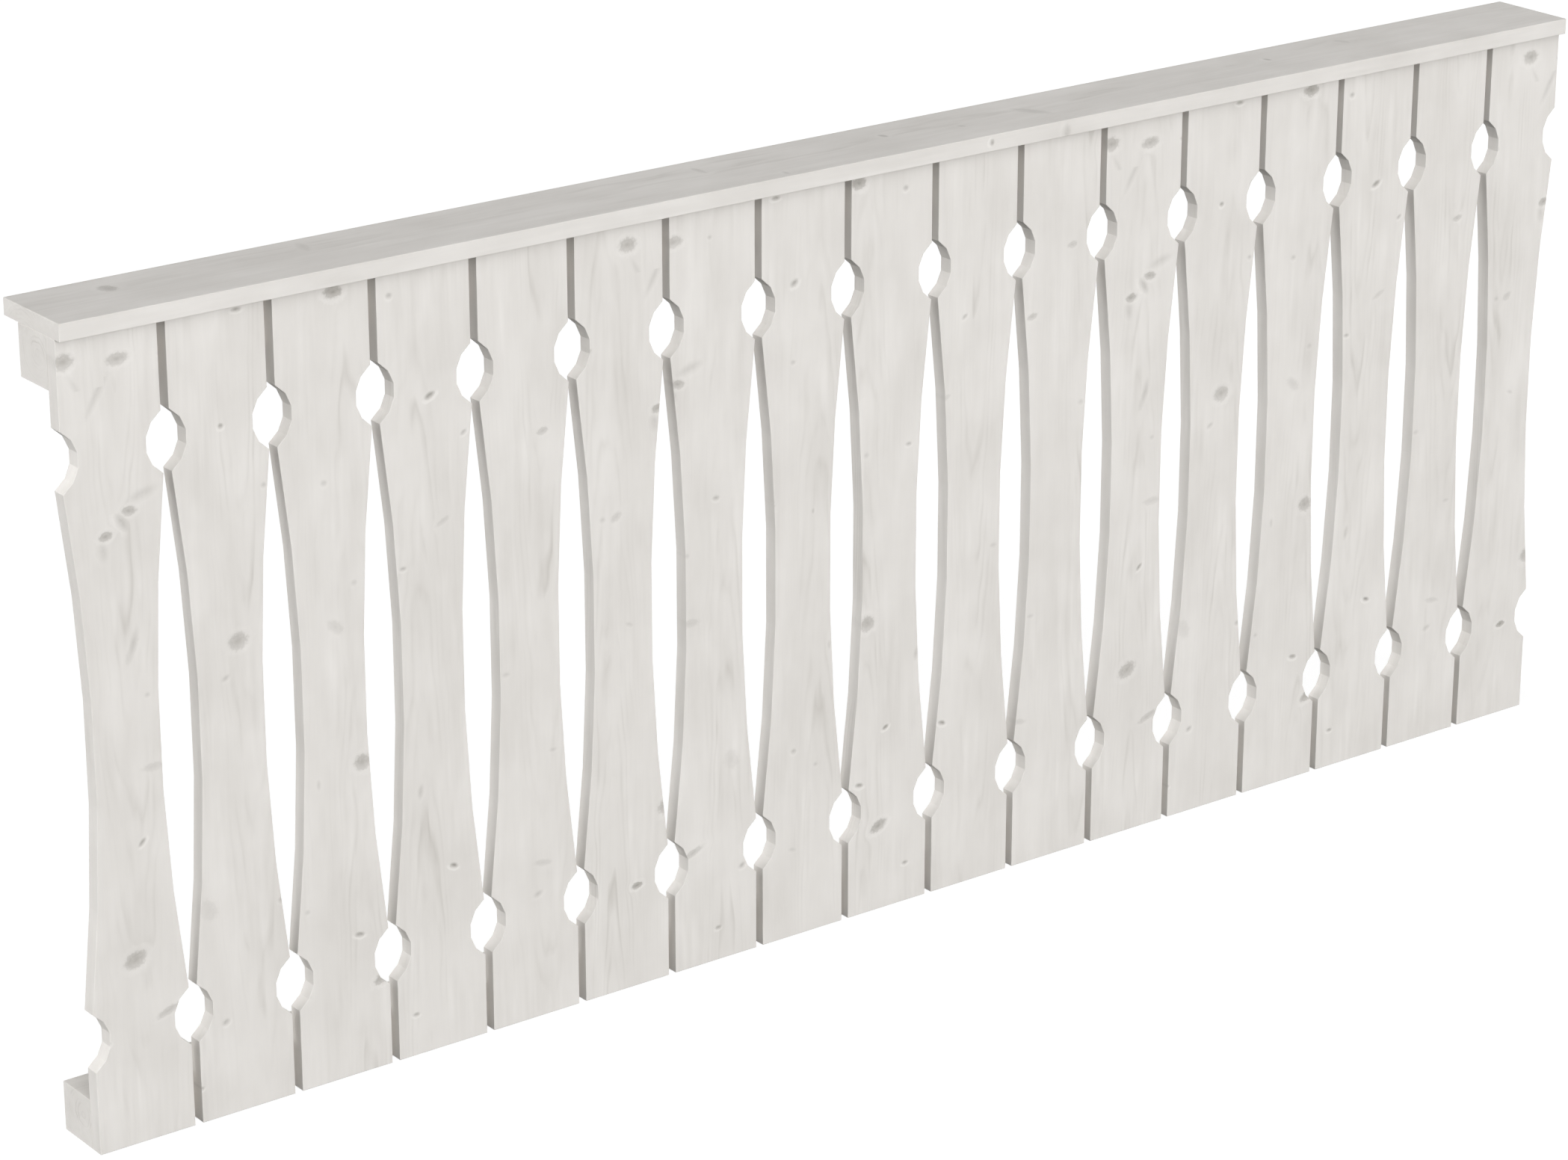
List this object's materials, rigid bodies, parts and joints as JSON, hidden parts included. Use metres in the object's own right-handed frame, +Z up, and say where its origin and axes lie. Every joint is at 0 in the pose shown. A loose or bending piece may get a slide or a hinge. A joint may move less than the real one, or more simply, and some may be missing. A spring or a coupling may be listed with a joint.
{
  "type": "balcony railing",
  "caption": "Flat balcony railing panel: upright boards with notched and waisted sawn edges on square rails behind them, under a flat handrail board.",
  "frame": {"origin": "middle of the lower rail's underside, which is also the middle of the panel's foot", "axes": "+X along the railing, to the right as seen from the boards' side; +Y from the boards towards the rails; +Z up"},
  "size_m": [2.2, 0.12, 0.96],
  "materials": {
    "boards": "white-glazed, satin",
    "rails": "white-glazed, satin",
    "handrail": "white-glazed, satin"
  },
  "bodies": {
    "root": {"lower_rail": "rails", "upper_rail": "rails", "handrail": "handrail", "board_01": "boards", "board_02": "boards", "board_03": "boards", "board_04": "boards", "board_05": "boards", "board_06": "boards", "board_07": "boards", "board_08": "boards", "board_09": "boards", "board_10": "boards", "board_11": "boards", "board_12": "boards", "board_13": "boards", "board_14": "boards", "board_15": "boards", "board_16": "boards", "board_17": "boards"}
  },
  "joints": []
}
